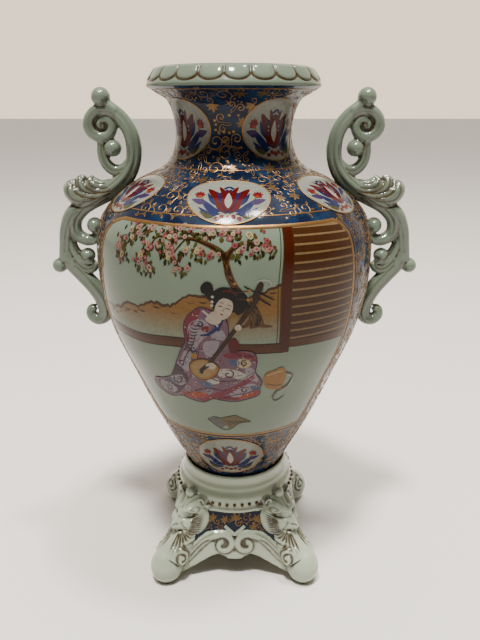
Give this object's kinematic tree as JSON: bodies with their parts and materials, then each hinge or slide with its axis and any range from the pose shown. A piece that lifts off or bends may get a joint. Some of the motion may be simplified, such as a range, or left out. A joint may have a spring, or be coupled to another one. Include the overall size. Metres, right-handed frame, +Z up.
{
  "type": "satsuma vase on stand",
  "caption": "Glazed porcelain baluster vase with petal-bordered rim and pierced scroll handles, standing in the collar of a lion-footed stand.",
  "frame": {"origin": "on the ground under the middle of the four feet", "axes": "+Z up along the vase's axis, the painted front towards -Y, one handle on each side along X"},
  "size_m": [0.2862, 0.2086, 0.4],
  "materials": {
    "painted_porcelain": "glossy celadon glaze with enamels and gilding",
    "stand_porcelain": "glossy celadon glaze with brown wash in the carving"
  },
  "bodies": {
    "root": {"vase": "painted_porcelain", "stand": "stand_porcelain"}
  },
  "joints": []
}
